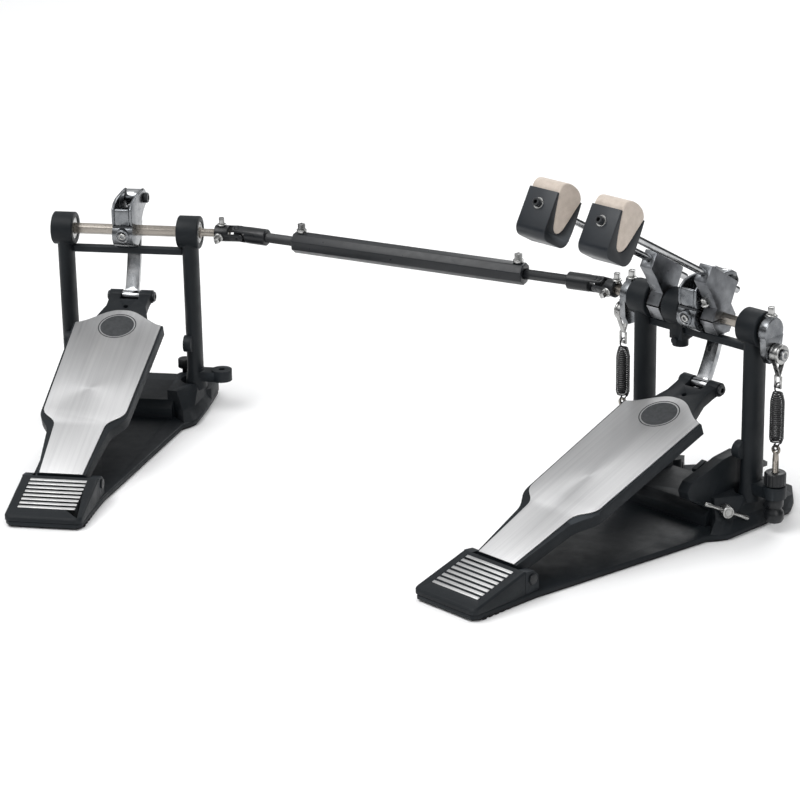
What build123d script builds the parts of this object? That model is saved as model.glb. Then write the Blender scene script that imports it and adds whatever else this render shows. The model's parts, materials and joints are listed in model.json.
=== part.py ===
"""Double bass drum pedal: a main pedal with two beaters, a slave pedal, and the drive shaft between them.

Millimetres, +Z up. The origin is on the floor under the middle of the main pedal's axle, +Y points at the
drum and +X to the player's right. Each pedal is drawn in the same pedal frame; the slave is then set down
at SLAVE_PLACE.
"""
from build123d import *
import math
import os

# Driving dimensions of a pedal
AXLE_Z = 190.0
AXLE_FLATS = 10.0
POST_X = 64.8
BOSS_RADIUS = 16.5
BOSS_HALF = 11.0
BEARING_RADIUS = 11.0
FIT = 0.05                                  # radial clearance of pins and shafts
AXLE_BORE = AXLE_FLATS / math.sqrt(3) + 0.07
SOLE_TOP = 2.0
PLATE_TOP = 6.5
BOARD_ANGLE = 19.5
BOARD_HEEL = (0.0, -267.8, 30.2)            # top of the tread at its heel end
HEEL_PIN = (-261.0, 19.0)                   # y, z
TOE_PIN = (4.9, 118.6)
LINK_PIN = (32.0, 215.0)
PIN_RADIUS = 3.0
LINK_BULGE = 7.0
LINK_THICKNESS = 5.4
LINK_HALF_WIDTH = 6.85
LINK_EYE_CLEARANCE = 3.4                    # the linkage is opened here
CAM_HALF = 10.5
SPUR = (48.0, 22.0)                         # x, y
TOWER_TOP = 33.5                            # casting round each post's foot
EAR_Z = (34.0, 45.4)                        # lug on a post that holds a spring's tension rod
HEEL_SLOPE = [(-333, 11.3), (-268.5, 28.2)] # y, z along the heel's top
RIB_COUNT = 8
RIB_PITCH = 6.1
TREAD_THICKNESS = 1.3
TOE_V = 286.6                               # toe pin in board coordinates
TOE_W = -7.7
SEAM = ((-17.5, 198.0), (15.0, 183.0))      # parting line of the cam and its cap
CENTRE_BOSS = (-33.0, -13.0)                # x of the bearing housing between the two axles

# Beaters, springs and clamp of the main pedal
BEATER_ANGLE = 29.5                         # rod above the horizontal, leaning at the player
ROD_RADIUS = 3.3
ROD_OFFSET = 30.0                           # rod line above the axle's centre
HOLDER_WIDTH = 14.4
MAIN_BEATER = {"x": 21.3, "reach": 199.0, "tail": -14.0}
SLAVE_BEATER = {"x": -43.0, "reach": 210.0, "tail": -17.7}
SPRING_X = 92.0
MAIN_AXLE_END = 84.0                        # inside the right rocker's hub
ROLLER_Z = 171.0
ROLLER_RADIUS = 8.8
SPRING_EYE_Z = 80.0
COIL = (89.2, 133.2)
BEATER_HALF = 16.8
KNOB_FLUTES = 16
CLAMP_SCREW = (67.2, -37.6, 24.5)           # middle of the hub
CLAMP_TURN = -28.0                          # the screw points out to the right and back at the player
CLAMP_TILT = 24.3
JAW_PIN = (32.0, 26.0)                      # y, z

# Slave pedal and drive shaft
SLAVE_PLACE = Location((-592.8, -187.2, 0), (0, 0, 35.79))
SLAVE_JOINT_X = 115.4
MAIN_JOINT_X = -121.2
YOKE_PHASE = 28.0                           # input yoke turned from the horizontal at rest
YOKE_RADIUS = 8.3
YOKE_INNER = 6.0
YOKE_BASE = 10.0
CROSS_PIN = 2.3
OPEN_BORE = CROSS_PIN + 0.45                # the shaft's pin holes are opened to free the loop
SLEEVE = (66.0, 318.0)


def block(x0, x1, y0, y1, z0, z1):
    return Pos((x0 + x1) / 2, (y0 + y1) / 2, (z0 + z1) / 2) * Box(x1 - x0, y1 - y0, z1 - z0)


def x_bar(x0, x1, y, z, radius):
    return Pos((x0 + x1) / 2, y, z) * Rot(0, 90, 0) * Cylinder(radius, x1 - x0)


def y_bar(x, y0, y1, z, radius):
    return Pos(x, (y0 + y1) / 2, z) * Rot(90, 0, 0) * Cylinder(radius, y1 - y0)


def z_bar(x, y, z0, z1, radius):
    return Pos(x, y, (z0 + z1) / 2) * Cylinder(radius, z1 - z0)


def hex_x(x0, x1, flats, turn=0.0):
    """A hexagonal bar on the axle's line; turn 0 puts a corner on top."""
    outline = Plane.YZ * RegularPolygon(flats / 2, 6, major_radius=False, rotation=30 + turn)
    return Pos(x0, 0, AXLE_Z) * extrude(outline, x1 - x0, dir=(1, 0, 0))


def side_prism(points, x0, x1):
    """A prism along X whose outline is given as (y, z)."""
    outline = make_face(Polyline(*points, close=True))
    return Pos(x0, 0, 0) * extrude(Plane.YZ * outline, x1 - x0, dir=(1, 0, 0))


def plan_prism(half, z0, z1):
    """A prism along Z, symmetric about x = 0, from the right half of its outline."""
    points = half + [(-x, y) for x, y in reversed(half) if x]
    return Pos(0, 0, z0) * extrude(make_face(Polyline(*points, close=True)), z1 - z0, dir=(0, 0, 1))


def both_sides(shape):
    return Compound(children=[shape, mirror(shape, about=Plane.YZ)])


def fused_sides(shape):
    return shape + mirror(shape, about=Plane.YZ)


BOARD = Plane(origin=BOARD_HEEL, x_dir=(1, 0, 0),
              z_dir=(0, -math.sin(math.radians(BOARD_ANGLE)), math.cos(math.radians(BOARD_ANGLE))))


def beater_plane(x):
    """Local x runs out along the rod, local y the way the beater strikes, from the axle's centre."""
    lean = math.radians(BEATER_ANGLE)
    return Plane(origin=(x, 0, AXLE_Z), x_dir=(0, -math.cos(lean), math.sin(lean)), z_dir=(-1, 0, 0))


def along_strike(edge):
    """How far an edge lies the way the beater strikes."""
    return beater_plane(0).to_local_coords(edge).center().Y


def beater_prism(face, x0, x1):
    return extrude(beater_plane(x0) * face, x1 - x0, dir=(1, 0, 0))


# ---------------------------------------------------------------- base and frame

PLATE_OUTLINE = [(0, -333), (32, -333), (36.5, -328), (39, -259), (65, -62), (72, -52), (76, -44), (77, -4),
                 (76, 45), (66, 62), (42, 90), (0, 90)]


def base_plate():
    plate = plan_prism(PLATE_OUTLINE, SOLE_TOP, PLATE_TOP)
    plate = chamfer(plate.faces().sort_by(Axis.Z)[-1].edges(), 1.0)
    return plate - fused_sides(z_bar(*SPUR, 0, PLATE_TOP + 1, 3.05))


def rubber_sole():
    half = [(x * 0.975, y * 0.99) for x, y in PLATE_OUTLINE]
    sole = plan_prism(half, 0, SOLE_TOP)
    for tooth in range(9):
        y = -322 + 7.5 * tooth
        sole += block(-37.2, 37.2, y, y + 4, 0, SOLE_TOP - 0.2)
    return sole - fused_sides(z_bar(*SPUR, -1, SOLE_TOP + 1, 3.05))


def ground_spur(head_z):
    """Pointed floor screw with a knurled head; it stands in the bridge's lug."""
    x, y = SPUR
    point = Pos(x, y, 1.6) * Cone(0.4, 3.0, 2.4)
    head = chamfer(z_bar(x, y, head_z, head_z + 10, 7.2).edges(), 1.0)
    return point + z_bar(x, y, 2.8, head_z + 1, 3.0) + head


def ring_face(points, z):
    return Pos(0, 0, z) * make_face(Polyline(*points, close=True))


TOWER_FOOT = [(44, -40), (52, -41), (65, -57), (72, -51), (77, -43), (78, -5), (77, 45), (60, 54), (44, 32)]
TOWER_WAIST = [(44, -39), (51, -40), (61, -45), (66, -39), (70, -30), (72.5, -5), (74, 24), (60, 30), (44, 30)]
TOWER_HEAD = [(44, -37), (48, -38), (54, -39), (62, -26), (70, -11), (72, 0), (70, 13), (59, 19), (44, 18)]


def tower():
    """Faceted casting round one post's foot, flared out to the edge of the plate, with a low front block."""
    foot = loft([ring_face(TOWER_FOOT, PLATE_TOP), ring_face(TOWER_WAIST, 15.5)], ruled=True)
    head = loft([ring_face(TOWER_WAIST, 15.5), ring_face(TOWER_HEAD, TOWER_TOP)], ruled=True)
    front = [(50, 8), (73, 8), (77, 12), (77, 45), (60, 54), (50, 40)]
    return foot + head + extrude(ring_face(front, PLATE_TOP), 13, dir=(0, 0, 1))


def fin():
    """Rounded guard that rises beside a main post, its nose towards the heel."""
    profile = [(12, 20), (-38, 20), (-58, 33), (-69, 39), (-72, 47), (-66, 54.5), (-39, 61), (-23, 65.5),
               (0, 67.5), (12, 62)]
    return fillet(side_prism(profile, 38.5, 50).edges().filter_by(Axis.X), 2.5)


def bridge(guarded):
    """Cast cradle across the base that carries both posts."""
    beam = side_prism([(-46, PLATE_TOP), (-46, 17), (-39, 24), (12, 27), (20, 21), (20, PLATE_TOP)], -50, 50)
    side = tower() + z_bar(*SPUR, PLATE_TOP, 30, 9)
    if guarded:
        side += fin()
    frame = beam + fused_sides(side)
    for x in (-POST_X, POST_X):
        frame -= z_bar(x, 0, 26, 90, 15.5) + x_bar(x - 9, x + 9, -13, 76, 9.2)
    return frame - fused_sides(z_bar(*SPUR, 0, 90, 3.05) + z_bar(*SPUR, 36, 90, 8))


def main_bridge():
    frame = bridge(True)
    for x in (-20.5, 15.5):
        lug = side_prism([(18, PLATE_TOP), (18, 27), (JAW_PIN[0], 32), (38, 28), (42, PLATE_TOP)], x, x + 5)
        frame += lug - x_bar(x - 1, x + 6, *JAW_PIN, PIN_RADIUS + FIT)
    recess = Pos(0, 0, 1) * Cylinder(6.4, 10)
    return frame - clamp_axis() * (Cylinder(4 + FIT, 80) + recess)


def post(with_ear):
    """One post with its foot, bearing housing, side lug and, where a spring hangs, its ear."""
    foot = Pos(POST_X, 0, 26) * extrude(Ellipse(11, 15), 20, taper=8)
    column = Pos(POST_X, 0, 26) * extrude(Ellipse(8, 13), AXLE_Z - 26)
    lug = Pos(POST_X - 3, -13, 76) * Rot(0, 90, 0) * Cylinder(8.5, 8)
    housing = x_bar(POST_X - BOSS_HALF, POST_X + BOSS_HALF, 0, AXLE_Z, BOSS_RADIUS)
    housing = chamfer(housing.edges(), 0.8)
    shape = foot + column + lug + housing
    if with_ear:
        ear = z_bar(SPRING_X, 0, *EAR_Z, 10.5) + block(POST_X, SPRING_X, -8.5, 8.5, EAR_Z[0], EAR_Z[1] - 1.4)
        shape += ear - z_bar(SPRING_X, 0, 30, 50, PIN_RADIUS + 0.25)
    return shape - x_bar(POST_X - 20, POST_X + 20, 0, AXLE_Z, BEARING_RADIUS)


def posts(ears):
    right = post(ears[1])
    left = mirror(post(ears[0]), about=Plane.YZ)
    return Compound(children=[left, right])


def cross_bar():
    return chamfer(block(-56.7, 56.7, -3, 5, 165.7, 172.8).edges().filter_by(Axis.X), 0.8)


def bearing(x0, x1):
    ring = x_bar(x0, x1, 0, AXLE_Z, BEARING_RADIUS) - x_bar(x0 - 1, x1 + 1, 0, AXLE_Z, AXLE_BORE)
    return ring - x_bar(x1 - 0.8, x1 + 1, 0, AXLE_Z, 9) + (
        x_bar(x1 - 0.8, x1, 0, AXLE_Z, 7.5) - x_bar(x0 - 1, x1 + 1, 0, AXLE_Z, AXLE_BORE))


def post_bearings():
    right = bearing(POST_X - BOSS_HALF + 0.6, POST_X + BOSS_HALF - 0.6)
    return [right, mirror(right, about=Plane.YZ)]


def centre_bracket():
    """Hanger clamped on the cross bar; its bearings carry the inner ends of both axles."""
    middle = sum(CENTRE_BOSS) / 2
    housing = chamfer(x_bar(*CENTRE_BOSS, 0, AXLE_Z, BOSS_RADIUS + 0.5).edges(), 0.8)
    stub = z_bar(middle, 1, 153, AXLE_Z - 12, 7.5)
    stub += block(middle - 7.5, middle + 7.5, -6, 9, 160, AXLE_Z - 14)
    screw = y_bar(middle, -9, 12, 159, 3.2)
    bracket = housing + stub + screw - block(-40, 0, -3, 5, 165.7, 172.8)
    return bracket - x_bar(-40, 0, 0, AXLE_Z, BEARING_RADIUS)


def centre_bearings():
    return [bearing(-32.4, -23.6), bearing(-22.4, -13.6)]


# ---------------------------------------------------------------- heel and footboard

def rib(index, depth):
    """One inlaid strip across the heel's sloped top; depth reaches below the surface."""
    (y0, z0), (y1, z1) = HEEL_SLOPE
    slope = math.degrees(math.atan2(z1 - z0, y1 - y0))
    along = 8.0 + RIB_PITCH * index
    run = math.hypot(y1 - y0, z1 - z0)
    y = y1 - (y1 - y0) * along / run
    z = z1 - (z1 - z0) * along / run
    return Pos(0, y, z) * Rot(slope, 0, 0) * Pos(0, 0, (0.5 - depth) / 2) * Box(55, 3.4, 0.5 + depth)


def heel_block():
    (y0, z0), (y1, z1) = HEEL_SLOPE
    body = side_prism([(y0, PLATE_TOP), (y0, z0), (y1, z1), (y1, PLATE_TOP)], -37.2, 37.2)
    body = fillet(body.edges().filter_by(Axis.Z).sort_by(Axis.Y)[:2], 6)
    body = chamfer(body.edges().group_by(Axis.Z)[-1] + body.edges().filter_by(
        lambda e: abs(e.center().X) > 37 and e.center().Z > 15), 1.5)
    profile = [(y1 - 1, PLATE_TOP), (y1 - 1, 27.5), (-259, 26), (-254, 21), (-253, PLATE_TOP)]
    lug = side_prism(profile, 28.2, 37.2)
    body += fused_sides(lug)
    body -= x_bar(-40, 40, *HEEL_PIN, PIN_RADIUS)
    for index in range(RIB_COUNT):
        body -= rib(index, 1.0)
    return body


def heel_ribs():
    return [rib(index, 1.0) for index in range(RIB_COUNT)]


def heel_pins():
    pin = x_bar(18, 37.2, *HEEL_PIN, PIN_RADIUS) + x_bar(37.2, 38.8, *HEEL_PIN, 4.6)
    return [pin, mirror(pin, about=Plane.YZ)]


def board_half(foot, neck, swell, corner, crown):
    """Right half of a footboard outline in board coordinates, as a face closed along x = 0."""
    edges = [
        Line((0, foot[1]), foot),
        Line(foot, neck),
        Spline(neck, swell, tangents=[(0.1, 1), (0.05, 1)]),
        Line(swell, corner),
        Spline(corner, (corner[0] * 0.62, crown - 13), (corner[0] * 0.27, crown - 2.2), (0, crown)),
        Line((0, crown), (0, foot[1])),
    ]
    return make_face(Curve() + edges)


def board_slab(half, w0, w1):
    right = extrude(half, w1 - w0, dir=(0, 0, 1))
    return BOARD * Pos(0, 0, w0) * (right + mirror(right, about=Plane.YZ))


TREAD = dict(foot=(21.1, 0), neck=(25, 69.7), swell=(41.2, 95.5), corner=(44.2, 230.4), crown=252.6)
def tread_plate():
    return board_slab(board_half(**TREAD), -TREAD_THICKNESS, 0)


def footboard():
    """Cast board: a deck with a skirt all round, a knuckle at the heel and a fork at the toe."""
    outer = board_half((23.5, 0.4), (30, 60), (43.4, 91), (46.2, 230.6), 253.2)
    deck = board_slab(outer, -12, -TREAD_THICKNESS)
    hollow = Polyline((0, 12), (19, 12), (25, 62), (37, 95), (40, 222), (0, 236), close=True)
    half = extrude(make_face(hollow), 6, dir=(0, 0, 1))
    deck -= BOARD * Pos(0, 0, -12.5) * (half + mirror(half, about=Plane.YZ))
    fork = Polyline((0, 236), (29, 236), (24.5, 250), (20.5, 263), (20.5, 276), (22, TOE_V), (0, TOE_V),
                    close=True)
    arm = extrude(make_face(fork), 9.5, dir=(0, 0, 1))
    deck += BOARD * Pos(0, 0, -12) * (arm + mirror(arm, about=Plane.YZ))
    deck += x_bar(-22, 22, *TOE_PIN, 6.6)
    deck -= BOARD * (Pos(0, TOE_V, TOE_W) * Box(19.4, 24, 30))
    deck -= BOARD * (Pos(0, 262, -5) * Cylinder(2.6, 20))
    deck -= x_bar(-30, 30, *TOE_PIN, PIN_RADIUS)
    deck += x_bar(-27.6, 27.6, *HEEL_PIN, 5.5)
    return deck - x_bar(-40, 40, *HEEL_PIN, PIN_RADIUS + FIT)


def toe_pin():
    heads = x_bar(-24.8, -22.1, *TOE_PIN, 5.2) + x_bar(22.1, 24.8, *TOE_PIN, 5.2)
    return x_bar(-23, 23, *TOE_PIN, PIN_RADIUS) + heads


# ---------------------------------------------------------------- direct drive: link, cam, axle

def drive_link():
    """Curved link from the toe pin to the cam; its wide top eye leaves the closed linkage open there."""
    dy = LINK_PIN[0] - TOE_PIN[0]
    dz = LINK_PIN[1] - TOE_PIN[1]
    chord = math.hypot(dy, dz)
    radius = (chord ** 2 / 4 + LINK_BULGE ** 2) / (2 * LINK_BULGE)
    middle = ((LINK_PIN[0] + TOE_PIN[0]) / 2, (LINK_PIN[1] + TOE_PIN[1]) / 2)
    centre = (middle[0] - (radius - LINK_BULGE) * dz / chord, middle[1] + (radius - LINK_BULGE) * dy / chord)
    half = LINK_HALF_WIDTH
    band = x_bar(-half, half, *centre, radius + LINK_THICKNESS / 2)
    band -= x_bar(-half - 1, half + 1, *centre, radius - LINK_THICKNESS / 2)
    band = band & side_prism([TOE_PIN, (TOE_PIN[0] + 40, TOE_PIN[1]), (LINK_PIN[0] + 30, LINK_PIN[1] - 4),
                              (LINK_PIN[0], LINK_PIN[1] - 4), (LINK_PIN[0] - 10, LINK_PIN[1] - 4),
                              (TOE_PIN[0] - 10, TOE_PIN[1])], -half, half)
    eye = PIN_RADIUS + LINK_EYE_CLEARANCE
    link = band + x_bar(-8.9, 8.9, *TOE_PIN, 5.8) + x_bar(-half, half, *LINK_PIN, eye + 2.4)
    link -= x_bar(-20, 20, *LINK_PIN, eye)
    return link - x_bar(-20, 20, *TOE_PIN, PIN_RADIUS + FIT)


def link_cam():
    (y0, z0), (y1, z1) = SEAM
    profile = [(y0, z0 + 0.4), (-18.5, 209), (-14, 217), (-4, 221), (28, 225), (LINK_PIN[0], LINK_PIN[1]),
               (37, 206), (25, 199), (16, 190), (y1, z1 + 0.4)]
    body = side_prism(profile, -CAM_HALF, CAM_HALF)
    body += x_bar(-CAM_HALF, CAM_HALF, *LINK_PIN, 10)
    gap = LINK_HALF_WIDTH + 0.6
    body -= block(-gap, gap, LINK_PIN[0] - 14, 80, 150, 260)
    body -= x_bar(-gap, gap, -4, 226, 9)
    return body - hex_x(-30, 30, AXLE_FLATS) - x_bar(-20, 20, *LINK_PIN, PIN_RADIUS)


def cam_cap():
    (y0, z0), (y1, z1) = SEAM
    profile = [(y0, z0 - 0.4), (-20.5, 190), (-18, 182), (-10, 175.6), (2, 173.6), (11, 177.4),
               (y1, z1 - 0.4)]
    cap = side_prism(profile, -CAM_HALF, CAM_HALF) - hex_x(-30, 30, AXLE_FLATS)
    screw = Pos(0, -15, 182.5) * Rot(-35, 0, 0) * Pos(0, 0, -3) * Cylinder(4.2, 6)
    return cap + screw


def cam_pin():
    reach = CAM_HALF + 3.2
    shaft = x_bar(-reach, reach, *LINK_PIN, PIN_RADIUS)
    head = x_bar(CAM_HALF, reach + 1, *LINK_PIN, 5.4)
    nut = x_bar(-reach + 0.8, -CAM_HALF, *LINK_PIN, 4.8)
    return shaft + head + nut


# ---------------------------------------------------------------- beaters

def beater_holder(rod_x):
    """Slit hexagonal collar on the axle with the block that grips the beater rod above it."""
    x0 = rod_x - HOLDER_WIDTH / 2
    x1 = rod_x + HOLDER_WIDTH / 2
    collar = hex_x(x0, x1, 29, turn=30)
    outline = Polyline((42, 38), (42, 21), (30, 15), (14, 5), (-4, 2), (-1, 36), close=True)
    arm = fillet(beater_prism(make_face(outline), x0, x1).edges().filter_by(Axis.X), 1.5)
    holder = collar + arm
    holder -= block(x0 - 1, x1 + 1, -20, 0, AXLE_Z - 0.7, AXLE_Z + 0.7)
    holder -= hex_x(x0 - 1, x1 + 1, AXLE_FLATS)
    return holder - beater_plane(rod_x) * Pos(0, ROD_OFFSET, 0) * Rot(0, 90, 0) * Cylinder(
        ROD_RADIUS + FIT, 200)


def beater_rod(beater):
    """Round rod with the shell's end bolt on it."""
    start = beater["tail"]
    end = beater["reach"] + 1
    line = beater_plane(beater["x"]) * Pos(0, ROD_OFFSET, 0) * Rot(0, 90, 0)
    rod = line * Pos(0, 0, (start + end) / 2) * Cylinder(ROD_RADIUS, end - start)
    bolt = line * Pos(0, 0, end) * Cylinder(5.2, 2.0)
    return rod + bolt


def shell_outline(reach):
    return [(reach, 43), (reach, 0), (reach - 35, 0), (reach - 36, 14), (reach - 34.5, 44)]


def felt_wedge(reach):
    return [(reach - 2.2, 43), (reach - 8, 20), (reach - 11, 13), (reach - 16, 10), (reach - 21, 12),
            (reach - 25, 20), (reach - 33.5, 44)]


def beater_shell(beater):
    x0 = beater["x"] - BEATER_HALF
    x1 = beater["x"] + BEATER_HALF
    reach = beater["reach"]
    shell = beater_prism(make_face(Polyline(*shell_outline(reach), close=True)), x0, x1)
    shell = fillet(shell.edges().filter_by(Axis.X).filter_by(lambda e: along_strike(e) < 1), 9)
    opening = felt_wedge(reach) + [(reach - 33.5, 60), (reach - 2.2, 60)]
    shell -= beater_prism(make_face(Polyline(*opening, close=True)), x0 - 1, x1 + 1)
    line = beater_plane(beater["x"]) * Pos(0, ROD_OFFSET, 0) * Rot(0, 90, 0)
    return shell - line * Pos(0, 0, reach) * Cylinder(ROD_RADIUS, 200)


def beater_felt(beater):
    x0 = beater["x"] - BEATER_HALF
    x1 = beater["x"] + BEATER_HALF
    reach = beater["reach"]
    crown = [(reach - 33.5, 47), (reach - 29, 51.5), (reach - 20, 54.5), (reach - 10, 55),
             (reach - 4.5, 52.5), (reach - 2.2, 48)]
    felt = beater_prism(make_face(Polyline(*felt_wedge(reach), *crown, close=True)), x0, x1)
    line = beater_plane(beater["x"]) * Pos(0, ROD_OFFSET, 0) * Rot(0, 90, 0)
    return felt - line * Pos(0, 0, reach) * Cylinder(ROD_RADIUS, 200)


# ---------------------------------------------------------------- springs (drawn on the right side)

def rocker(bore_end):
    """Clamp hub on the axle's end with a lobe that carries the strap's roller below it."""
    hub = chamfer(x_bar(77.4, 86.6, 0, AXLE_Z, 13).edges(), 0.8)
    hub += block(78.5, 85.5, -5, 5, AXLE_Z + 8, AXLE_Z + 15)
    lobe = side_prism([(-12.5, 186), (-11, 169), (-6, 161.5), (5, 161.5), (10, 168), (12.5, 186)], 80, 86.6)
    pin = x_bar(86, 97.2, 0, ROLLER_Z, PIN_RADIUS) + x_bar(97.2, 99.2, 0, ROLLER_Z, 5.2)
    return hub + lobe + pin - hex_x(70, bore_end, AXLE_FLATS)


def teardrop(radius, apex_z, x0, x1):
    """A disc about the roller with straight flanks that meet at apex_z below it."""
    drop = ROLLER_Z - apex_z
    reach = math.acos(radius / drop)
    y = radius * math.sin(reach)
    z = ROLLER_Z - radius * math.cos(reach)
    flank = side_prism([(y, z), (-y, z), (0, apex_z)], x0, x1)
    return x_bar(x0, x1, 0, ROLLER_Z, radius) + flank


def spring_strap():
    """Roller on the rocker's pin, and the strap round it that holds the spring's hook."""
    roller = x_bar(87.6, 96.4, 0, ROLLER_Z, ROLLER_RADIUS) - x_bar(80, 99, 0, ROLLER_Z, PIN_RADIUS + FIT)
    groove = x_bar(89.5, 94.5, 0, ROLLER_Z, ROLLER_RADIUS + 1)
    roller -= groove - x_bar(80, 99, 0, ROLLER_Z, ROLLER_RADIUS - 1)
    strap = teardrop(ROLLER_RADIUS + 0.2, 148.5, 89.6, 94.4) - teardrop(ROLLER_RADIUS - 1, 151, 89, 95)
    strap += block(SPRING_X - 4, SPRING_X + 4, -1, 1, 138.9, 150.5)
    strap -= block(SPRING_X - 2.3, SPRING_X + 2.3, -2, 2, 141.6, 149.5)
    return Compound(children=[roller, strap])


def ring(z, radius, wire):
    return Pos(SPRING_X, 0, z) * Rot(0, 90, 0) * Torus(radius, wire)


def spring_coil():
    """The close-wound coil as its envelope, with the lower hook through the tension rod's eye."""
    z0, z1 = COIL
    tube = z_bar(SPRING_X, 0, z0, z1, 6.9) - z_bar(SPRING_X, 0, z0 - 1, z1 + 1, 5.0)
    tail = block(SPRING_X - 5.6, SPRING_X + 5.6, -0.8, 0.8, z0 - 0.8, z0 + 1.0)
    return tube + tail + ring(SPRING_EYE_Z + 4.3, 3.7, 0.8)


def spring_upper_hook():
    return ring(139, 4.5, 0.85)


def tension_rod():
    rod = z_bar(SPRING_X, 0, 10, SPRING_EYE_Z - 3.5, PIN_RADIUS)
    eye = y_bar(SPRING_X, -1.2, 1.2, SPRING_EYE_Z, 4.6)
    nut = Pos(SPRING_X, 0, 13) * extrude(RegularPolygon(9.4, 6), 9)
    collar = z_bar(SPRING_X, 0, 22, 33.8, 8.2)
    return rod + eye + nut + collar - y_bar(SPRING_X, -3, 3, SPRING_EYE_Z, 2.4)


def tension_knob():
    knob = chamfer(z_bar(SPRING_X, 0, 46, 58.6, 10).edges(), 1.2)
    for flute in range(KNOB_FLUTES):
        angle = math.tau * flute / KNOB_FLUTES
        knob -= z_bar(SPRING_X + 10.4 * math.cos(angle), 10.4 * math.sin(angle), 44, 60, 1.0)
    return knob - z_bar(SPRING_X, 0, 40, 65, PIN_RADIUS + FIT)


# ---------------------------------------------------------------- hoop clamp

def clamp_axis():
    """Local z runs out along the clamp screw, local x is level."""
    turn = math.radians(CLAMP_TURN)
    return Plane(origin=CLAMP_SCREW, x_dir=(-math.sin(turn), math.cos(turn), 0),
                 z_dir=(math.cos(turn), math.sin(turn), 0))


def clamp_screw():
    shaft = Pos(0, 0, -18) * Cylinder(4, 34)
    hub = chamfer((Pos(0, 0, 0.5) * Cylinder(5.8, 9)).edges(), 0.8)
    handle = Rot(0, 0, -CLAMP_TILT) * Rot(0, 90, 0) * Cylinder(2.2, 47)
    return clamp_axis() * (shaft + hub + handle)


def clamp_jaw():
    """Jaw that presses the drum's hoop on the base plate."""
    arm = side_prism([(28, 22.5), (28, 30), (76, 30), (86, 24), (86, 20), (72, 20), (66, 23.5)], -15, 15)
    return arm + x_bar(-15, 15, *JAW_PIN, 5.2) + x_bar(-20.5, 20.5, *JAW_PIN, PIN_RADIUS)


# ---------------------------------------------------------------- drive shaft

SLAVE_JOINT = (SLAVE_PLACE * Pos(SLAVE_JOINT_X, 0, AXLE_Z)).position
MAIN_JOINT = Vector(MAIN_JOINT_X, 0, AXLE_Z)
SHAFT_DIR = (MAIN_JOINT - SLAVE_JOINT).normalized()
SHAFT_LENGTH = (MAIN_JOINT - SLAVE_JOINT).length
SLAVE_DIR = (SLAVE_PLACE * Pos(1, 0, 0)).position - SLAVE_PLACE.position
MAIN_DIR = Vector(1, 0, 0)


def yoke_axis(axle_dir):
    """Direction of the pins in the yoke fixed to an axle, at rest."""
    level = Vector(0, 0, 1).cross(axle_dir)
    phase = math.radians(YOKE_PHASE)
    return level * math.cos(phase) + axle_dir.cross(level) * math.sin(phase)


def yoke(base, reach, pin_bore):
    """A yoke about its joint's centre: base behind the centre on -Z, ears on +X and -X."""
    barrel = Pos(0, 0, -(base + reach) / 2) * Cylinder(YOKE_RADIUS, reach - base)
    barrel = chamfer(barrel.edges(), 0.8)
    cheeks = Pos(0, 0, -base / 2) * Box(2 * YOKE_RADIUS, 9.4, base + 2)
    cheeks = cheeks & (Pos(0, 0, -base / 2) * Cylinder(YOKE_RADIUS, base + 2))
    tips = Rot(0, 90, 0) * Cylinder(4.7, 2 * YOKE_RADIUS)
    ears = (cheeks & Box(50, 50, 2 * base + 3)) + (tips & Cylinder(YOKE_RADIUS, 20))
    ears -= Box(2 * YOKE_INNER, 40, 2 * base - 0.4)
    return barrel + ears - Rot(0, 90, 0) * Cylinder(pin_bore, 40)


def universal_cross(at, first, second):
    frame = Plane(origin=at, x_dir=first, z_dir=first.cross(second))
    arms = Rot(0, 90, 0) * Cylinder(CROSS_PIN, 16.4) + Rot(90, 0, 0) * Cylinder(CROSS_PIN, 16.4)
    return frame * (arms + chamfer(Box(8.6, 8.6, 8.6).edges(), 1.2))


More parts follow.
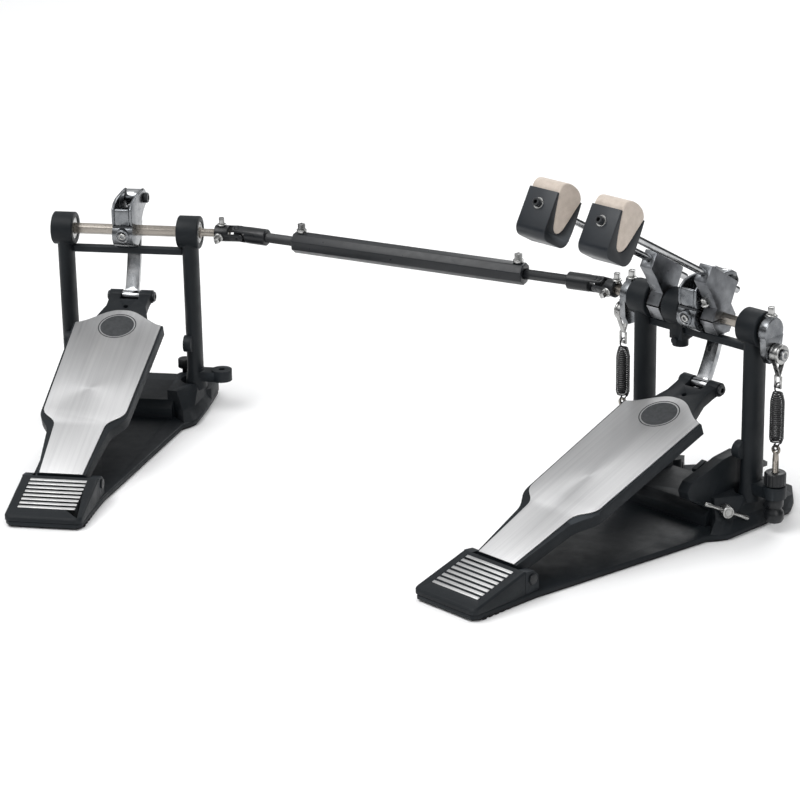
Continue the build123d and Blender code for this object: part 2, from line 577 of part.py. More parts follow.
def drive_shaft_parts():
    first = yoke_axis(SLAVE_DIR)
    second = SHAFT_DIR.cross(first).normalized()
    main_first = yoke_axis(MAIN_DIR)
    main_second = SHAFT_DIR.cross(main_first).normalized()
    along = Plane(origin=SLAVE_JOINT, x_dir=second, z_dir=SHAFT_DIR)
    input_yoke = Plane(origin=SLAVE_JOINT, x_dir=first, z_dir=SLAVE_DIR) * yoke(
        YOKE_BASE, 24, CROSS_PIN + FIT)
    output_yoke = Plane(origin=MAIN_JOINT, x_dir=main_first, z_dir=MAIN_DIR * -1) * yoke(
        YOKE_BASE, 21, CROSS_PIN + FIT)
    near = Plane(origin=SLAVE_JOINT, x_dir=second, z_dir=SHAFT_DIR * -1) * yoke(YOKE_BASE, 33, OPEN_BORE)
    far = Plane(origin=MAIN_JOINT, x_dir=main_second, z_dir=SHAFT_DIR) * yoke(YOKE_BASE, 33, OPEN_BORE)
    start, end = SLEEVE
    near += along * Pos(0, 0, 30) * extrude(RegularPolygon(5, 6), 90)
    far += along * Pos(0, 0, SHAFT_LENGTH - 120) * extrude(RegularPolygon(5, 6), 90)
    sleeve = along * Pos(0, 0, start) * extrude(RegularPolygon(11, 8), end - start)
    sleeve -= along * Pos(0, 0, start - 5) * extrude(RegularPolygon(5.15, 6), end - start + 10)
    bolts = []
    for place in (start + 7, end - 7):
        base = SLAVE_JOINT + SHAFT_DIR * place
        bolts.append(z_bar(base.X, base.Y, base.Z + 11.05, base.Z + 13.6, 5) + Pos(
            base.X, base.Y, base.Z + 16) * Box(5.4, 5.4, 7))
    return {
        "slave_input_yoke": input_yoke - SLAVE_PLACE * x_bar(80, 106, 0, AXLE_Z, 4),
        "slave_joint_cross": universal_cross(SLAVE_JOINT, first, second),
        "shaft_end_rods": Compound(children=[near, far]),
        "shaft_sleeve": sleeve,
        "shaft_key_bolts": Compound(children=bolts),
        "main_joint_cross": universal_cross(MAIN_JOINT, main_first, main_second),
        "main_output_yoke": output_yoke - hex_x(-107.2, -90, AXLE_FLATS),
    }


# ---------------------------------------------------------------- assembly

def pedal(prefix, bridge_shape, ears):
    return {
        prefix + "_base_plate": base_plate(),
        prefix + "_bridge": bridge_shape,
        prefix + "_posts": posts(ears),
        prefix + "_heel_block": heel_block(),
        prefix + "_footboard": footboard(),
        prefix + "_tread_plate": tread_plate(),
        prefix + "_toe_pin": toe_pin(),
        prefix + "_drive_link": drive_link(),
        prefix + "_link_cam": link_cam(),
        prefix + "_cam_cap": cam_cap(),
        prefix + "_cam_pin": cam_pin(),
    }


def pair(shapes):
    """The same pieces on the main pedal and on the slave, as one group."""
    return Compound(children=[*shapes, *[SLAVE_PLACE * shape for shape in shapes]])


parts = pedal("main", main_bridge(), (True, True))
for name, shape in pedal("slave", bridge(False), (False, True)).items():
    parts[name] = SLAVE_PLACE * shape

parts["rubber_soles"] = pair([rubber_sole()])
parts["ground_spurs"] = Compound(children=[
    both_sides(ground_spur(50)), SLAVE_PLACE * both_sides(ground_spur(38))])
parts["cross_bars"] = pair([cross_bar()])
parts["heel_ribs"] = pair(heel_ribs())
parts["heel_pins"] = pair(heel_pins())
parts["axle_bearings"] = Compound(children=[
    *post_bearings(), *centre_bearings(), *[SLAVE_PLACE * ring_shape for ring_shape in post_bearings()]])
parts["centre_bracket"] = centre_bracket()

parts["main_axle"] = hex_x(-22.5, MAIN_AXLE_END, AXLE_FLATS)
parts["slave_beater_axle"] = hex_x(-107, -23.5, AXLE_FLATS)
parts["slave_pedal_axle"] = SLAVE_PLACE * (hex_x(-79, 77, AXLE_FLATS) + x_bar(77, 105, 0, AXLE_Z, 4))

for name, beater in (("main_beater", MAIN_BEATER), ("slave_beater", SLAVE_BEATER)):
    parts[name + "_holder"] = beater_holder(beater["x"])
    parts[name + "_rod"] = beater_rod(beater)
    parts[name + "_shell"] = beater_shell(beater)
    parts[name + "_felt"] = beater_felt(beater)

parts["main_rocker"] = rocker(MAIN_AXLE_END)
parts["slave_rocker"] = mirror(rocker(90), about=Plane.YZ)
for name, shape in (("spring_strap", spring_strap()), ("spring_coil", spring_coil()),
                    ("spring_upper_hook", spring_upper_hook()), ("tension_knob", tension_knob())):
    parts["main_" + name] = shape
    parts["slave_" + name] = mirror(shape, about=Plane.YZ)
parts["tension_rods"] = both_sides(tension_rod())

parts["clamp_screw"] = clamp_screw()
parts["clamp_jaw"] = clamp_jaw()
parts.update(drive_shaft_parts())

os.makedirs("parts", exist_ok=True)
for name, shape in parts.items():
    export_step(shape, f"parts/{name}.step")
print(len(parts), "parts written")
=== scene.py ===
"""Looks of the double bass drum pedal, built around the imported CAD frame."""
import json
import math

import bmesh
import bpy
from mathutils import Matrix, Vector

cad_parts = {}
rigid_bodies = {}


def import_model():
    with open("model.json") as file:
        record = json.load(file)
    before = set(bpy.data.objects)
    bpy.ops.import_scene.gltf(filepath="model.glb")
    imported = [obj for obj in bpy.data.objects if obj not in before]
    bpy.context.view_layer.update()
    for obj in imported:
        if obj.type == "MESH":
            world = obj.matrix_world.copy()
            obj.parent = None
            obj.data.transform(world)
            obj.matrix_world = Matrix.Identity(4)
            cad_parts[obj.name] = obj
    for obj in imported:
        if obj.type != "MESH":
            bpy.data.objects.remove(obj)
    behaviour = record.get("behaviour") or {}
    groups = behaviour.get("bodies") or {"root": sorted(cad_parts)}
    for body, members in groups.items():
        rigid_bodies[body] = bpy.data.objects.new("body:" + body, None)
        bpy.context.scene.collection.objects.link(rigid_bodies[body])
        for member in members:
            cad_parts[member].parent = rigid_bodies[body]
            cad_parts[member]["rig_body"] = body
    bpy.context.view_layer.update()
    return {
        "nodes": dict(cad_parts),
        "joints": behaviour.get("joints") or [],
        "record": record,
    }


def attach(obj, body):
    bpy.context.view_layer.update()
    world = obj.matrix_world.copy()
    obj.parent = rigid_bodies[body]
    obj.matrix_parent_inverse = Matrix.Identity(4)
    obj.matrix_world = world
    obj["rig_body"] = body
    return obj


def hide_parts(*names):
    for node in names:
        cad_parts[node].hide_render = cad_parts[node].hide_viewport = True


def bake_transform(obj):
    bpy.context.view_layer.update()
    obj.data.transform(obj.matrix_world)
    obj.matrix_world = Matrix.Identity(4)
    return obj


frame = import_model()
MM = 0.001
JOINTS = {joint["name"]: joint for joint in frame["joints"]}
MOUNTS = {mount["name"]: mount for mount in frame["record"]["mounts"]}


def joint_axis(name):
    return Vector(JOINTS[name]["axis"]).normalized()


def slave_matrix():
    """The slave pedal's own frame: its floor point and the way its axle runs."""
    across = -joint_axis("slave_footboard_hinge")
    turn = math.atan2(across.y, across.x)
    return Matrix.Translation(Vector(MOUNTS["slave_floor_face"]["pos_m"])) @ Matrix.Rotation(turn, 4, "Z")


def joint_mm(name):
    """A joint's place in mm, rounded to the micrometre in which the record gives it."""
    return Vector([round(value / MM, 3) for value in JOINTS[name]["pos_m"]])


PEDALS = {"main": Matrix.Identity(4), "slave": slave_matrix()}
RIGHT, AHEAD, UP = Vector((1, 0, 0)), Vector((0, 1, 0)), Vector((0, 0, 1))
AXLE = joint_mm("main_axle_turn")
TOE_PIN = joint_mm("main_link_hinge")
SPRING_X = joint_mm("main_spring_swing").x
BOARD_ANGLE = math.radians(19.5)   # slope of the tread at rest
BOARD_HEEL = Vector((0, -267.8, 30.2))   # the tread's heel edge, mm
BEATER_ANGLE = math.radians(29.5)   # rise of the beaters' rods above level at rest


# ---------------------------------------------------------------- camera, floor and light

CAMERA_PLACE = (1.5757, -1.8947, 0.9925)
CAMERA_YAW = 46.13   # degrees from the drum's direction towards the player's left
CAMERA_PITCH = 19.82   # degrees down
CAMERA_ROLL = 1.0
CAMERA_LENS = 127.5   # mm on a 36 mm sensor

FLOOR_REACH = 30   # metres from the middle to each side
FLOOR_TONE = (0.93, 0.93, 0.93, 1)
FLOOR_DROP = 0.0002   # keeps the floor clear of the soles' faces

# The world's levels from the horizon at 0 to overhead at 1, each as (height, level).
HORIZON_TO_TOP = ((0.14, 0.18), (0.32, 0.28), (0.5, 0.75), (0.72, 0.62), (0.88, 0.45))
WORLD_BELOW = (0.30, 0.31, 0.33, 1)
WORLD_OVERHEAD = (0.22, 0.22, 0.23, 1)
WORLD_STRENGTH = 0.95
PANEL_SCALE = 1.9   # the soft panels and strips between them, as a noise over the whole world
PANEL_EDGES = (0.42, 0.58)
PANEL_LEVELS = (0.25, 1.15)

AREA_LIGHTS = {
    "key": {"place": (-0.6, -1.6, 2.6), "target": (-0.2, 0, 0.1), "size": (2.4, 1.6), "power": 52},
    "fill": {"place": (2.6, -1.0, 1.6), "target": (0, 0, 0.1), "size": (1.6, 1.6), "power": 20},
    "rim": {"place": (-0.8, 2.4, 2.0), "target": (-0.2, 0, 0.15), "size": (2.4, 1.2), "power": 34},
}
SKY_DIRECTION = (0.2, 0.25, -1)
SKY_STRENGTH = 1.1
SKY_WIDTH = math.radians(100)


def make_camera():
    """The photograph's point of view."""
    yaw, pitch, roll = (math.radians(a) for a in (CAMERA_YAW, CAMERA_PITCH, CAMERA_ROLL))
    forward = Vector((-math.sin(yaw) * math.cos(pitch), math.cos(yaw) * math.cos(pitch), -math.sin(pitch)))
    level = Vector((math.cos(yaw), math.sin(yaw), 0))
    upright = level.cross(forward)
    right = level * math.cos(roll) - upright * math.sin(roll)
    up = level * math.sin(roll) + upright * math.cos(roll)
    data = bpy.data.cameras.new("camera")
    data.sensor_width = 36
    data.lens = CAMERA_LENS
    data.clip_end = 100
    camera = bpy.data.objects.new("camera", data)
    turn = Matrix((right, up, -forward)).transposed().to_4x4()
    camera.matrix_world = Matrix.Translation(CAMERA_PLACE) @ turn
    bpy.context.scene.collection.objects.link(camera)
    bpy.context.scene.camera = camera


def area_light(name, place, target, size, power):
    """A soft rectangular light that looks at the target."""
    data = bpy.data.lights.new(name, "AREA")
    data.shape = "RECTANGLE"
    data.size, data.size_y = size
    data.energy = power
    light = bpy.data.objects.new(name, data)
    direction = Vector(target) - Vector(place)
    light.matrix_world = Matrix.Translation(place) @ direction.to_track_quat("-Z", "Y").to_matrix().to_4x4()
    bpy.context.scene.collection.objects.link(light)


def sky_light():
    """A very wide soft source overhead that keeps the whole floor evenly pale."""
    data = bpy.data.lights.new("sky", "SUN")
    data.energy = SKY_STRENGTH
    data.angle = SKY_WIDTH
    light = bpy.data.objects.new("sky", data)
    light.matrix_world = Vector(SKY_DIRECTION).to_track_quat("-Z", "Y").to_matrix().to_4x4()
    bpy.context.scene.collection.objects.link(light)


def make_world():
    """A pale studio with soft dark strips between its panels, so that metal has something to reflect."""
    world = bpy.data.worlds.new("studio")
    bpy.context.scene.world = world
    world.use_nodes = True
    nodes, links = world.node_tree.nodes, world.node_tree.links
    coord = nodes.new("ShaderNodeTexCoord")
    split = nodes.new("ShaderNodeSeparateXYZ")
    ramp = nodes.new("ShaderNodeValToRGB")
    links.new(coord.outputs["Generated"], split.inputs[0])
    links.new(split.outputs["Z"], ramp.inputs[0])
    stops = ramp.color_ramp.elements
    stops[0].position, stops[0].color = 0.0, WORLD_BELOW
    stops[1].position, stops[1].color = 1.0, WORLD_OVERHEAD
    for position, level in HORIZON_TO_TOP:
        stop = stops.new(position)
        stop.color = (level, level * 1.01, level * 1.03, 1)
    panels = nodes.new("ShaderNodeTexNoise")
    panels.inputs["Scale"].default_value = PANEL_SCALE
    panels.inputs["Detail"].default_value = 1
    links.new(coord.outputs["Generated"], panels.inputs["Vector"])
    contrast = nodes.new("ShaderNodeMapRange")
    contrast.interpolation_type = "SMOOTHSTEP"
    contrast.inputs["From Min"].default_value, contrast.inputs["From Max"].default_value = PANEL_EDGES
    contrast.inputs["To Min"].default_value, contrast.inputs["To Max"].default_value = PANEL_LEVELS
    links.new(panels.outputs["Fac"], contrast.inputs["Value"])
    mixed = nodes.new("ShaderNodeVectorMath")
    mixed.operation = "SCALE"
    links.new(ramp.outputs[0], mixed.inputs[0])
    links.new(contrast.outputs["Result"], mixed.inputs["Scale"])
    links.new(mixed.outputs[0], nodes["Background"].inputs["Color"])
    nodes["Background"].inputs["Strength"].default_value = WORLD_STRENGTH


def make_floor():
    """A pale plain floor, much wider than any view of it."""
    mesh = bpy.data.meshes.new("floor")
    corners = [(x * FLOOR_REACH, y * FLOOR_REACH, 0) for x, y in ((-1, -1), (1, -1), (1, 1), (-1, 1))]
    mesh.from_pydata(corners, [], [(0, 1, 2, 3)])
    floor = bpy.data.objects.new("floor", mesh)
    bpy.context.scene.collection.objects.link(floor)
    material = bpy.data.materials.new("floor_white")
    material.use_nodes = True
    shader = material.node_tree.nodes["Principled BSDF"]
    shader.inputs["Base Color"].default_value = FLOOR_TONE
    shader.inputs["Roughness"].default_value = 0.9
    shader.inputs["Specular IOR Level"].default_value = 0.1
    mesh.materials.append(material)
    floor.location.z = -FLOOR_DROP


# ---------------------------------------------------------------- materials

class Surface:
    """One procedural material: a Principled shader and the textures that feed it, in object coordinates."""

    def __init__(self, name, colour, roughness, metallic=0.0, **sockets):
        self.material = bpy.data.materials.new(name)
        self.material.use_nodes = True
        self.nodes = self.material.node_tree.nodes
        self.links = self.material.node_tree.links
        self.shader = self.nodes["Principled BSDF"]
        self.shader.inputs["Base Color"].default_value = (*colour, 1)
        self.shader.inputs["Roughness"].default_value = roughness
        self.shader.inputs["Metallic"].default_value = metallic
        for socket, value in sockets.items():
            self.shader.inputs[socket.replace("_", " ")].default_value = value
        self.coord = self.nodes.new("ShaderNodeTexCoord")
        self.normal = None

    def place(self, scale, turn=(0, 0, 0)):
        """Object coordinates turned to lie along a part, then stretched to draw a grain."""
        mapping = self.nodes.new("ShaderNodeMapping")
        mapping.vector_type = "TEXTURE"
        mapping.inputs["Rotation"].default_value = turn
        stretch = self.nodes.new("ShaderNodeMapping")
        stretch.inputs["Scale"].default_value = scale
        self.links.new(self.coord.outputs["Object"], mapping.inputs[0])
        self.links.new(mapping.outputs[0], stretch.inputs[0])
        return stretch.outputs[0]

    def noise(self, scale, detail=4, where=None, rough=0.55):
        node = self.nodes.new("ShaderNodeTexNoise")
        node.inputs["Scale"].default_value = scale
        node.inputs["Detail"].default_value = detail
        node.inputs["Roughness"].default_value = rough
        self.links.new(where or self.coord.outputs["Object"], node.inputs["Vector"])
        return node.outputs["Fac"]

    def span(self, value, low, high, from_low=0.3, from_high=0.7):
        """A value carried from one range, by default a noise's usual one, to another."""
        node = self.nodes.new("ShaderNodeMapRange")
        node.inputs["From Min"].default_value = from_low
        node.inputs["From Max"].default_value = from_high
        node.inputs["To Min"].default_value = low
        node.inputs["To Max"].default_value = high
        self.links.new(value, node.inputs["Value"])
        return node.outputs["Result"]

    def blend(self, value, first, second):
        """A mix of two colours, each given as a tuple or as another node's output."""
        node = self.nodes.new("ShaderNodeMix")
        node.data_type = "RGBA"
        self.links.new(value, node.inputs["Factor"])
        for socket, colour in ((node.inputs["A"], first), (node.inputs["B"], second)):
            if isinstance(colour, tuple):
                socket.default_value = (*colour, 1)
            else:
                self.links.new(colour, socket)
        return node.outputs["Result"]

    def edges(self, low, high):
        """Painted highlights: white on the outer edges, where rounded edges would catch the light."""
        geometry = self.nodes.new("ShaderNodeNewGeometry")
        return self.span(geometry.outputs["Pointiness"], 0, 1, low, high)

    def colour(self, value):
        self.links.new(value, self.shader.inputs["Base Color"])

    def roughness(self, value):
        self.links.new(value, self.shader.inputs["Roughness"])

    def bump(self, height, strength, distance):
        """Adds relief on top of any relief that the surface has already."""
        node = self.nodes.new("ShaderNodeBump")
        node.inputs["Strength"].default_value = strength
        node.inputs["Distance"].default_value = distance
        self.links.new(height, node.inputs["Height"])
        if self.normal is not None:
            self.links.new(self.normal, node.inputs["Normal"])
        self.normal = node.outputs["Normal"]
        self.links.new(self.normal, self.shader.inputs["Normal"])


def cast_paint():
    """Satin charcoal paint over a slightly rough casting."""
    s = Surface("cast_paint", (0.007, 0.0095, 0.012), 0.5, Specular_IOR_Level=0.2)
    tone = s.blend(s.span(s.noise(9, 3), 0, 1), (0.0055, 0.0076, 0.0096), (0.0090, 0.0115, 0.0140))
    # the lighter colour on the outer edges is a painted highlight
    s.colour(s.blend(s.edges(0.53, 0.62), tone, (0.026, 0.031, 0.036)))
    s.roughness(s.span(s.noise(60, 5), 0.42, 0.58))
    s.bump(s.noise(900, 3), 0.22, 0.0004)
    s.bump(s.noise(160, 4), 0.10, 0.0006)
    return s.material


def black_steel():
    """Black oxide on machined steel."""
    s = Surface("black_steel", (0.006, 0.007, 0.008), 0.34, Specular_IOR_Level=0.35)
    tone = s.blend(s.span(s.noise(40, 4), 0, 1), (0.005, 0.006, 0.007), (0.010, 0.011, 0.013))
    # the lighter colour on the outer edges is a painted highlight
    s.colour(s.blend(s.edges(0.53, 0.62), tone, (0.030, 0.033, 0.037)))
    s.roughness(s.span(s.noise(220, 4), 0.27, 0.42))
    s.bump(s.noise(1200, 2), 0.12, 0.0002)
    return s.material


def brushed_plate(name, turn):
    """Aluminium brushed along the board, with long faint streaks."""
    s = Surface(name, (0.66, 0.66, 0.665), 0.36, 1.0, Anisotropic=0.45)
    lay = (BOARD_ANGLE, 0, turn)
    fine = s.noise(1.0, 4, s.place((2600, 16, 400), lay), 0.6)
    broad = s.noise(1.0, 3, s.place((320, 3, 60), lay), 0.55)
    streak = s.blend(s.span(broad, 0, 1, 0.3, 0.7), (0.50, 0.50, 0.505), (0.58, 0.58, 0.58))
    s.colour(s.blend(s.span(fine, 0, 0.5), streak, (0.68, 0.68, 0.68)))
    s.roughness(s.span(fine, 0.40, 0.54))
    s.bump(fine, 0.08, 0.0002)
    return s.material


def chrome():
    """Polished chrome over castings, with a soft waviness and light haze."""
    s = Surface("chrome", (0.38, 0.39, 0.40), 0.16, 1.0)
    tone = s.blend(s.span(s.noise(75, 5), 0, 1), (0.20, 0.21, 0.22), (0.48, 0.485, 0.49))
    # the near-white colour on the outer edges is a painted highlight
    s.colour(s.blend(s.edges(0.56, 0.68), tone, (0.80, 0.80, 0.80)))
    s.roughness(s.span(s.noise(130, 5), 0.10, 0.24))
    s.bump(s.noise(120, 3), 0.22, 0.0007)
    s.bump(s.noise(1500, 2), 0.05, 0.0001)
    return s.material


def polished_casting():
    """Die-cast cam and cap, polished but softer than chrome, darker in the hollows of its waves."""
    s = Surface("polished_casting", (0.20, 0.21, 0.22), 0.26, 1.0)
    tone = s.blend(s.span(s.noise(80, 4), 0, 1), (0.13, 0.138, 0.148), (0.25, 0.258, 0.268))
    # the pale colour on the outer edges is a painted highlight
    s.colour(s.blend(s.edges(0.56, 0.68), tone, (0.60, 0.60, 0.60)))
    s.roughness(s.span(s.noise(150, 5), 0.20, 0.32))
    s.bump(s.noise(110, 3), 0.16, 0.0006)
    s.bump(s.noise(1200, 2), 0.05, 0.0001)
    return s.material


def bright_zinc():
    """Bright zinc plate on screws and small fittings."""
    s = Surface("bright_zinc", (0.38, 0.38, 0.375), 0.24, 1.0)
    s.colour(s.blend(s.span(s.noise(120, 3), 0, 1), (0.27, 0.27, 0.265), (0.48, 0.48, 0.47)))
    s.roughness(s.span(s.noise(260, 4), 0.20, 0.32))
    s.bump(s.noise(1200, 2), 0.06, 0.0001)
    return s.material


def rib_silver():
    """Satin silver strips let into the heel."""
    s = Surface("rib_silver", (0.60, 0.60, 0.60), 0.42, 1.0)
    grain = s.noise(1.0, 3, s.place((50, 900, 900)))
    s.colour(s.blend(s.span(grain, 0, 1), (0.54, 0.54, 0.54), (0.66, 0.66, 0.655)))
    s.roughness(s.span(grain, 0.36, 0.48))
    s.bump(s.noise(600, 2), 0.05, 0.0001)
    return s.material


def satin_zinc():
    """Grey die-cast beater holders, with cast grain and painted highlights on their edges."""
    s = Surface("satin_zinc", (0.20, 0.21, 0.22), 0.36, 1.0)
    tone = s.blend(s.span(s.noise(60, 5), 0, 1), (0.12, 0.126, 0.136), (0.22, 0.228, 0.238))
    # the pale colour on the outer edges is a painted highlight
    s.colour(s.blend(s.edges(0.56, 0.66), tone, (0.60, 0.60, 0.61)))
    s.roughness(s.span(s.noise(200, 4), 0.26, 0.44))
    s.bump(s.noise(260, 4), 0.16, 0.0004)
    return s.material


def warm_nickel():
    """Ground steel axle with a warm nickel tone, grain along the bar."""
    s = Surface("warm_nickel", (0.32, 0.295, 0.265), 0.28, 1.0, Anisotropic=0.3)
    grain = s.noise(1.0, 3, s.place((60, 1500, 1500)))
    s.colour(s.blend(s.span(grain, 0, 1), (0.25, 0.228, 0.20), (0.38, 0.35, 0.315)))
    s.roughness(s.span(grain, 0.24, 0.36))
    s.bump(grain, 0.06, 0.0001)
    return s.material


def black_plastic():
    """Satin moulded plastic of the beater shells."""
    s = Surface("black_plastic", (0.008, 0.010, 0.013), 0.34, Specular_IOR_Level=0.32)
    tone = s.blend(s.span(s.noise(30, 3), 0, 1), (0.0065, 0.0085, 0.011), (0.011, 0.0135, 0.017))
    # the lighter colour on the outer edges is a painted highlight
    s.colour(s.blend(s.edges(0.53, 0.62), tone, (0.06, 0.068, 0.078)))
    s.roughness(s.span(s.noise(240, 4), 0.28, 0.40))
    s.bump(s.noise(1100, 3), 0.10, 0.0002)
    return s.material


def felt():
    """Dense pressed wool: short fibres, soft mottling and a light sheen."""
    s = Surface("felt", (0.50, 0.43, 0.37), 0.95, Sheen_Weight=0.25, Sheen_Roughness=0.5)
    fibre = s.noise(1.0, 6, s.place((900, 1600, 1600)), 0.7)
    mottle = s.noise(140, 5)
    tone = s.blend(s.span(mottle, 0, 1), (0.43, 0.365, 0.31), (0.56, 0.485, 0.42))
    s.colour(s.blend(s.span(fibre, 0, 0.4), tone, (0.68, 0.61, 0.54)))
    s.bump(fibre, 0.45, 0.0006)
    s.bump(mottle, 0.3, 0.0012)
    return s.material


def rubber():
    """Matte black rubber with a fine moulded grain."""
    s = Surface("rubber", (0.012, 0.012, 0.013), 0.75, Specular_IOR_Level=0.25)
    s.colour(s.blend(s.span(s.noise(120, 4), 0, 1), (0.009, 0.009, 0.010), (0.017, 0.017, 0.018)))
    s.roughness(s.span(s.noise(200, 4), 0.66, 0.85))
    s.bump(s.noise(1400, 3), 0.3, 0.0003)
    return s.material


def black_spring():
    """Black oiled spring wire."""
    s = Surface("black_spring", (0.006, 0.006, 0.007), 0.28, Specular_IOR_Level=0.45)
    s.colour(s.blend(s.span(s.noise(150, 3), 0, 1), (0.005, 0.005, 0.006), (0.012, 0.012, 0.013)))
    s.roughness(s.span(s.noise(500, 3), 0.22, 0.34))
    s.bump(s.noise(1600, 2), 0.05, 0.0001)
    return s.material


def badge_dark():
    """Etched dark field of the round badge."""
    s = Surface("badge_dark", (0.045, 0.048, 0.052), 0.45, 0.4)
    s.colour(s.blend(s.span(s.noise(260, 3), 0, 1), (0.035, 0.038, 0.041), (0.058, 0.061, 0.065)))
    s.roughness(s.span(s.noise(500, 3), 0.4, 0.55))
    s.bump(s.noise(1500, 2), 0.10, 0.0001)
    return s.material


BRUSH_TURN = {name: matrix.to_euler().z for name, matrix in PEDALS.items()}
MATERIALS = {
    "cast_paint": cast_paint(),
    "black_steel": black_steel(),
    "main_brushed_plate": brushed_plate("main_brushed_plate", BRUSH_TURN["main"]),
    "slave_brushed_plate": brushed_plate("slave_brushed_plate", BRUSH_TURN["slave"]),
    "chrome": chrome(),
    "polished_casting": polished_casting(),
    "bright_zinc": bright_zinc(),
    "rib_silver": rib_silver(),
    "satin_zinc": satin_zinc(),
    "warm_nickel": warm_nickel(),
    "black_plastic": black_plastic(),
    "felt": felt(),
    "rubber": rubber(),
    "black_spring": black_spring(),
    "badge_dark": badge_dark(),
}


# ---------------------------------------------------------------- mesh tools

SMOOTH_ANGLE = math.radians(38)
CAD_BEVEL = {"segments": 2, "angle": 30}
PIECE_BEVEL_ANGLE = 35


def piece(name, mesh, body, material, replaces=()):
    """Puts a finished mesh in the scene as a piece that rides on a CAD body."""
    obj = bpy.data.objects.new(name, mesh)
    bpy.context.scene.collection.objects.link(obj)
    mesh.materials.clear()
    mesh.materials.append(MATERIALS[material])
    if body:
        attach(obj, body)
    if replaces:
        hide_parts(*replaces)
    return obj


def shade(mesh):
    """Smooth faces, with sharp edges where they meet steeply."""
    mesh.shade_smooth()
    mesh.set_sharp_from_angle(angle=SMOOTH_ANGLE)
    return mesh


def from_bmesh(bm, name):
    bmesh.ops.recalc_face_normals(bm, faces=bm.faces)
    mesh = bpy.data.meshes.new(name)
    bm.to_mesh(mesh)
    bm.free()
    return shade(mesh)


def bevelled(mesh, width, segments, angle):
    """The mesh with every edge that bends more than the angle rounded off; the width is in mm."""
    obj = bpy.data.objects.new("scratch", mesh)
    bpy.context.scene.collection.objects.link(obj)
    modifier = obj.modifiers.new("bevel", "BEVEL")
    modifier.width = width * MM
    modifier.segments = segments
    modifier.limit_method = "ANGLE"
    modifier.angle_limit = math.radians(angle)
    modifier.miter_outer = "MITER_ARC"
    modifier.use_clamp_overlap = True
    graph = bpy.context.evaluated_depsgraph_get()
    result = bpy.data.meshes.new_from_object(obj.evaluated_get(graph))
    bpy.data.objects.remove(obj)
    result.name = mesh.name
    return shade(result)


WELD_DISTANCE = 2e-6
FLAT_ANGLE = math.radians(0.6)


def softened(node, width, material):
    """The CAD node with its sharp edges rounded, as they come from a mould or a deburring wheel."""
    source = frame["nodes"][node]
    bm = bmesh.new()
    bm.from_mesh(source.data)
    bmesh.ops.remove_doubles(bm, verts=bm.verts, dist=WELD_DISTANCE)
    bmesh.ops.dissolve_limit(bm, angle_limit=FLAT_ANGLE, verts=bm.verts, edges=bm.edges)
    mesh = from_bmesh(bm, node + "_finish")
    mesh = bevelled(mesh, width, **CAD_BEVEL)
    return piece(node + "_finish", mesh, source["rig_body"], material, [node])


def add_lathe(bm, profile, matrix, segments=40):
    """Turns (radius, height) points, in mm, round local Z."""
    rings = []
    for radius, height in profile:
        if radius < 1e-6:
            rings.append([bm.verts.new(matrix @ Vector((0, 0, height * MM)))])
            continue
        turns = [math.tau * i / segments for i in range(segments)]
        rings.append([bm.verts.new(matrix @ Vector((radius * MM * math.cos(turn),
                                                    radius * MM * math.sin(turn), height * MM)))
                      for turn in turns])
    for low, high in zip(rings, rings[1:]):
        for i in range(segments):
            j = (i + 1) % segments
            if len(low) == 1:
                bm.faces.new((low[0], high[i], high[j]))
            elif len(high) == 1:
                bm.faces.new((low[i], low[j], high[0]))
            else:
                bm.faces.new((low[i], low[j], high[j], high[i]))


def add_prism(bm, outline, low, high, matrix):
    """An outline of (x, y) points in mm, extruded between two heights along local Z."""
    bottom = [bm.verts.new(matrix @ Vector((x * MM, y * MM, low * MM))) for x, y in outline]
    top = [bm.verts.new(matrix @ Vector((x * MM, y * MM, high * MM))) for x, y in outline]
    bm.faces.new(bottom[::-1])
    bm.faces.new(top)
    for i in range(len(outline)):
        j = (i + 1) % len(outline)
        bm.faces.new((bottom[i], bottom[j], top[j], top[i]))


def add_tube(bm, points, radius, segments):
    """A round wire along points in metres, with a frame carried along it so that it doesn't twist."""
    count = len(points)
    normal = None
    rings = []
    for i, point in enumerate(points):
        before, after = points[max(i - 1, 0)], points[min(i + 1, count - 1)]
        tangent = (after - before).normalized()
        if normal is None:
            normal = tangent.orthogonal().normalized()
        normal = (normal - tangent * normal.dot(tangent)).normalized()
        side = tangent.cross(normal)
        rings.append([bm.verts.new(point + (normal * math.cos(math.tau * k / segments)
                                            + side * math.sin(math.tau * k / segments)) * radius * MM)
                      for k in range(segments)])
    for low, high in zip(rings, rings[1:]):
        for k in range(segments):
            j = (k + 1) % segments
            bm.faces.new((low[k], low[j], high[j], high[k]))
    bm.faces.new(rings[0][::-1])
    bm.faces.new(rings[-1])


MOST_OF_HALF = 0.48   # a corner's curve stops just short of the middle of its sides


def rounded_outline(points, radius, steps):
    """A closed outline with each corner turned into an arc-like curve of about that radius."""
    result = []
    count = len(points)
    for i in range(count):
        before, here, after = (Vector(points[(i + k) % count]) for k in (-1, 0, 1))
        into, out = (before - here), (after - here)
        reach_in = min(radius, into.length * MOST_OF_HALF)
        reach_out = min(radius, out.length * MOST_OF_HALF)
        start, end = here + into.normalized() * reach_in, here + out.normalized() * reach_out
        for k in range(steps + 1):
            t = k / steps
            result.append(tuple(start * (1 - t) ** 2 + here * 2 * t * (1 - t) + end * t ** 2))
    return result


# ---------------------------------------------------------------- places on a pedal

BODY = {   # the CAD bodies that each pedal's pieces ride on
    "main": {"axle": "main_axle", "board": "main_footboard"},
    "slave": {"axle": "slave_pedal_axle", "board": "slave_footboard"},
}


def spot(at, along, across, pedal="main"):
    """A frame at a point of a pedal, in mm, with local Z along one direction and local X across it."""
    z = Vector(along).normalized()
    y = z.cross(Vector(across)).normalized()
    turn = Matrix((y.cross(z), y, z)).transposed().to_4x4()
    return PEDALS[pedal] @ Matrix.Translation(Vector(at) * MM) @ turn


